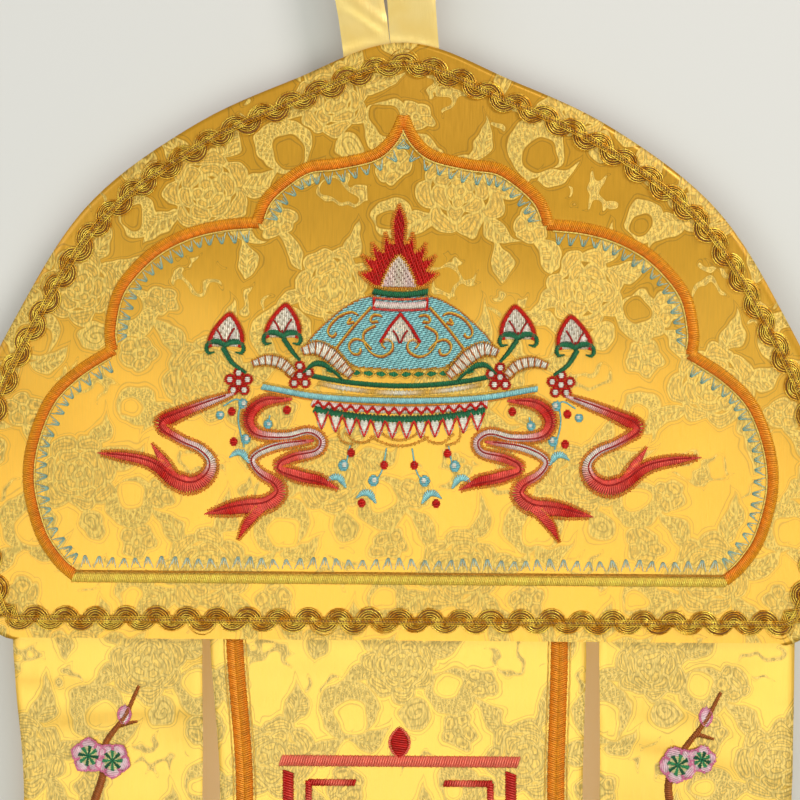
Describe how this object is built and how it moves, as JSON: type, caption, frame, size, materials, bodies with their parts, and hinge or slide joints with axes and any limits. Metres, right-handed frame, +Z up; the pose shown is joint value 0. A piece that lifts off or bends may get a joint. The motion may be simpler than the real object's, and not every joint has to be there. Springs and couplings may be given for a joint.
{
  "type": "buddhist altar banner",
  "caption": "Hanging satin damask banner: a bell-shaped embroidered head edged with scalloped metallic braid, a strap loop to hang it by, and long panels sewn below.",
  "frame": {"origin": "middle of the inner crown of the hanging loop, where a nail or hook carries the banner", "axes": "+Z up along the banner, +X to the right of someone facing its front, +Y back towards the wall; the embroidered front faces -Y"},
  "size_m": [0.3838, 0.0097, 1.1552],
  "materials": {
    "damask": "tone-on-tone woven satin damask, soft sheen",
    "satin": "plain shiny satin",
    "gimp": "antique gold metallic thread braid",
    "embroidery": "shiny rayon embroidery thread, many colours"
  },
  "bodies": {
    "root": {"head_panel": "damask", "gimp_braid": "gimp", "hanging_loop": "satin", "left_streamer": "damask", "centre_panel": "damask", "right_streamer": "damask"}
  },
  "joints": []
}
